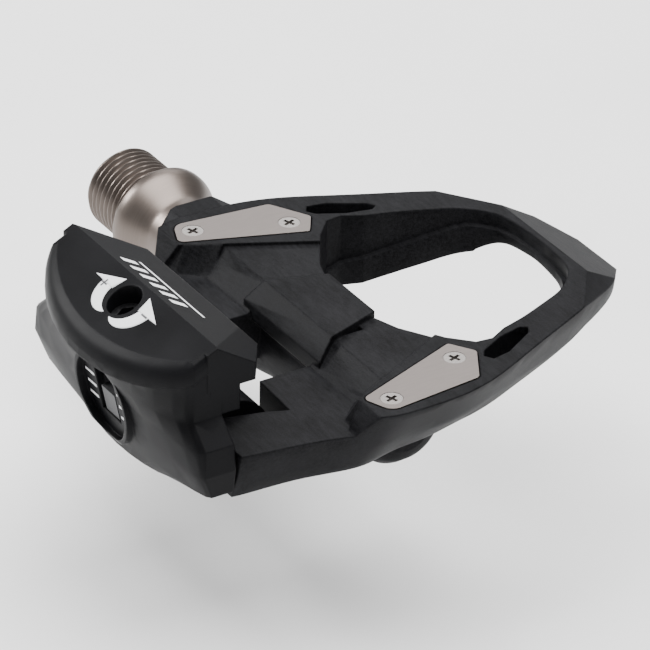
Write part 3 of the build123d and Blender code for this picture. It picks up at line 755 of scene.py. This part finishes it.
@dataclass
class BindingMarks:
    """Prints on the binding: adjuster arrows, their signs, accent bars, window ticks."""

    palette: Palette
    ink: float = 0.04 * MM
    lift: float = 0.02 * MM
    over_ink: float = 0.07 * MM
    top_slope: float = math.radians(26.565)
    front_slope: float = math.radians(-19.82)
    adjuster: tuple = (0.0, -37.4, 22.2)
    crest: tuple = (0.0, -33.9, 23.95)
    window_foot: tuple = (0.0, -37.6, -8.0)
    window_head: tuple = (0.0, -42.4, 16.0)
    tick_heights: tuple = (3.9, 6.0, 8.2)
    tick_ends: tuple = (3.5, 6.2)
    tick_half: float = 0.25
    flag: tuple = (0.0, -39.55, 5.0)
    flag_lean: float = math.radians(102.0)

    def lay(self, name: str, points: np.ndarray, kind: FinishKind, body: Body) -> bpy.types.Object:
        """Makes one thin print.

        Args:
            name: Name of the print.
            points: Grid of places.
            kind: Its finish.
            body: Body it moves with.

        Returns:
            The print.
        """
        piece = surface(name, points)
        thicken(piece, self.ink)
        self.palette.dress(piece, kind)
        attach(piece, body.value)
        return piece

    def bar(self, plane: Tilted, corners: list) -> np.ndarray:
        """Fills a four-cornered print.

        Args:
            plane: The surface it is printed on.
            corners: Two ends, each a pair of places in millimetres.

        Returns:
            Grid of places.
        """
        ends = np.array(corners) * MM
        way = np.linspace(0.0, 1.0, 12)[:, None, None]
        side = np.linspace(0.0, 1.0, 4)[None, :, None]
        near = ends[0, 0] + (ends[0, 1] - ends[0, 0]) * side
        far = ends[1, 0] + (ends[1, 1] - ends[1, 0]) * side
        flat = near + (far - near) * way
        return plane.place(flat[..., 0], flat[..., 1])

    def arrows(self) -> None:
        """Prints the two arrows round the adjuster hole, and a plus and a minus on them."""
        top = Tilted(self.adjuster, self.top_slope, self.lift)
        over = Tilted(self.adjuster, self.top_slope, self.over_ink)
        for arrow in (CurvedArrow("tighter", -106.0, -182.0, -218.0),
                      CurvedArrow("softer", -78.0, 2.0, 40.0)):
            arc, head = arrow.ribbon(top)
            self.lay("arrow_" + arrow.name, arc, FinishKind.INK, Body.BINDING)
            self.lay("arrow_head_" + arrow.name, head, FinishKind.INK, Body.BINDING)
        half, line = 0.75, 0.14
        signs = {"plus_across": ((-6.2 - half, 0.0), (-6.2 + half, 0.0), (0.0, line)),
                 "plus_along": ((-6.2, -half), (-6.2, half), (line, 0.0)),
                 "minus": ((5.9 - half, 0.1), (5.9 + half, 0.1), (0.0, line))}
        for name, (start, end, wide) in signs.items():
            first, last, width = np.array(start), np.array(end), np.array(wide)
            corners = [(first - width, first + width), (last - width, last + width)]
            self.lay(name, self.bar(over, corners), FinishKind.DARK_INK, Body.BINDING)

    def accent(self) -> None:
        """Prints a row of slanted accent bars and a thin stripe on the front of the claw."""
        front = Tilted(self.crest, self.front_slope, self.lift)
        low, high, wide, lean = 1.5, 3.5, 1.3, 1.4
        for number in range(6):
            left = -10.0 + 3.0 * number
            corners = [((left, low), (left + wide, low)), ((left + lean, high), (left + lean + wide, high))]
            self.lay(f"accent_{number}", self.bar(front, corners), FinishKind.INK, Body.BINDING)
        stripe = [((-8.6, 4.2), (-8.4, 4.5)), ((11.0, 4.2), (11.2, 4.5))]
        self.lay("accent_stripe", self.bar(front, stripe), FinishKind.INK, Body.BINDING)

    def ticks(self) -> None:
        """Prints the scale beside the indicator window."""
        (_, foot_y, foot_z), (_, head_y, head_z) = self.window_foot, self.window_head
        slope = math.atan2(head_z - foot_z, head_y - foot_y)
        floor = Tilted(self.window_foot, slope, self.lift)
        for row, height in enumerate(self.tick_heights):
            rise = (height - foot_z) / math.sin(slope)
            low, high = rise - self.tick_half, rise + self.tick_half
            for side in (-1, 1):
                near, far = (side * end for end in self.tick_ends)
                corners = [((near, low), (near, high)), ((far, low), (far, high))]
                self.lay(f"tick_{row}_{side + 1}", self.bar(floor, corners), FinishKind.INK, Body.BINDING)

    def marker(self) -> None:
        """Prints the marker on the indicator's flag."""
        flag = Tilted(self.flag, self.flag_lean, 0.03 * MM)
        half, low, high = 1.7, -0.85, 0.15
        corners = [((-half, low), (-half, high)), ((half, low), (half, high))]
        self.lay("indicator_marker", self.bar(flag, corners), FinishKind.INK, Body.TENSION)


def light(name: str, place: tuple, aim: tuple, size: tuple, power: float) -> None:
    """Hangs a rectangular studio light.

    Args:
        name: Name of the light.
        place: Its place in metres.
        aim: The point it faces.
        size: Its width and height in metres.
        power: Its power in watts.
    """
    lamp = bpy.data.lights.new(name, "AREA")
    lamp.shape = "RECTANGLE"
    lamp.size, lamp.size_y = size
    lamp.energy = power
    holder = bpy.data.objects.new(name, lamp)
    holder.location = place
    holder.rotation_euler = (Vector(aim) - Vector(place)).to_track_quat("-Z", "Y").to_euler()
    bpy.context.scene.collection.objects.link(holder)


@dataclass
class Moulding:
    """The two mouldings and the metal pieces that keep their CAD shapes."""

    palette: Palette
    moulded_edge: float = 0.3 * MM
    binding_edge: float = 0.25 * MM
    plate_edge: float = 0.18 * MM
    screw_edge: float = 0.08 * MM

    def finishes(self) -> dict:
        """Gives the finish of every CAD node."""
        ground = ("cone", "lock_nut", "bearing_tube", "needle_cup", "needle_rollers", "inner_race",
                  "outer_race", "inner_balls", "outer_balls", "pivot_pin", "tension_nut")
        kinds = {node: FinishKind.GROUND for node in ground}
        kinds |= {"body": FinishKind.COMPOSITE, "binding": FinishKind.BINDING,
                  "contact_plate_inboard": FinishKind.STAINLESS,
                  "contact_plate_outboard": FinishKind.STAINLESS,
                  "plate_screws": FinishKind.SCREW, "torsion_spring_inboard": FinishKind.SPRING,
                  "torsion_spring_outboard": FinishKind.SPRING, "spindle": FinishKind.SPINDLE,
                  "lock_sleeve": FinishKind.SLEEVE, "dust_seal": FinishKind.RUBBER,
                  "adjuster_bolt": FinishKind.BLACK_OXIDE, "indicator": FinishKind.SLEEVE}
        return kinds

    def build(self) -> None:
        """Dresses the CAD nodes and bevels the edges that show, where there is room."""
        for name, kind in self.finishes().items():
            self.palette.dress(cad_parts[name], kind)
        ease_edges(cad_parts["body"], self.moulded_edge)
        ease_edges(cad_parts["binding"], self.binding_edge)
        for name in ("contact_plate_inboard", "contact_plate_outboard"):
            ease_edges(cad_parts[name], self.plate_edge, 3)
        ease_edges(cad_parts["plate_screws"], self.screw_edge)


@dataclass
class Studio:
    """Floor, lights and camera round the pedal."""

    palette: Palette
    azimuth: float = math.radians(58.05)
    elevation: float = math.radians(30.39)
    roll: float = math.radians(0.91)
    distance: float = 853.08 * MM
    focal_length: float = 299.3206
    sensor: float = 36.0
    aside: float = -0.97 * MM
    above: float = 5.84 * MM

    def camera(self) -> None:
        """Sets up the camera."""
        az, el = self.azimuth, self.elevation
        back = np.array((math.sin(az) * math.cos(el), -math.cos(az) * math.cos(el), math.sin(el)))
        right = np.array((math.cos(az), math.sin(az), 0.0))
        up = np.cross(back, right)
        across = right * math.cos(self.roll) + up * math.sin(self.roll)
        upward = -right * math.sin(self.roll) + up * math.cos(self.roll)
        place = back * self.distance + across * self.aside + upward * self.above + (CENTRE_X, 0.0, 0.0)
        lens = bpy.data.cameras.new("camera")
        lens.sensor_width = self.sensor
        lens.lens = self.focal_length
        lens.clip_start = 0.05
        holder = bpy.data.objects.new("camera", lens)
        frame_matrix = Matrix(np.stack([across, upward, back], axis=1).tolist()).to_4x4()
        frame_matrix.translation = Vector(place)
        holder.matrix_world = frame_matrix
        bpy.context.scene.collection.objects.link(holder)
        bpy.context.scene.camera = holder

    def floor(self) -> None:
        """Lays a wide pale floor under the pedal."""
        reach = np.linspace(-3.0, 3.0, 9)
        x, y = np.meshgrid(reach, reach, indexing="ij")
        ground = surface("floor", np.stack([x + CENTRE_X, y, np.full_like(x, -30.0 * MM)], axis=-1))
        self.palette.dress(ground, FinishKind.FLOOR)

    def lights(self) -> None:
        """Hangs the lights and sets a plain sky."""
        aim = (CENTRE_X, 0.0, 0.0)
        light("overhead", (CENTRE_X, 0.05, 0.95), aim, (1.1, 1.1), 30.0)
        light("behind", (CENTRE_X - 0.65, 0.45, 0.45), aim, (0.5, 0.3), 1.4)
        light("rim", (CENTRE_X - 0.75, -0.5, 0.47), aim, (0.22, 0.3), 9.0)
        world = bpy.data.worlds.new("sky")
        world.use_nodes = True
        sky = world.node_tree.nodes["Background"]
        sky.inputs["Color"].default_value = (1.0, 1.0, 1.0, 1.0)
        sky.inputs["Strength"].default_value = 0.4
        bpy.context.scene.world = world

    def build(self) -> None:
        """Makes the whole studio."""
        self.floor()
        self.lights()
        self.camera()


def main() -> None:
    """Builds the pedal and its stage in order."""
    logging.basicConfig(level=logging.INFO, format="%(name)s: %(message)s")
    palette = Palette()
    Moulding(palette).build()
    LOG.info("dressed the CAD pieces")
    Spindle(palette).build()
    LOG.info("built the spindle")
    for side in (-1, 1):
        LOG.info("wound %s", TorsionSpring(palette, side).build().name)
    marks = BindingMarks(palette)
    for print_marks in (marks.arrows, marks.accent, marks.ticks, marks.marker):
        print_marks()
        LOG.info("printed the %s", print_marks.__name__)
    Studio(palette).build()
    LOG.info("set up the studio")


if __name__ == "__main__":
    main()
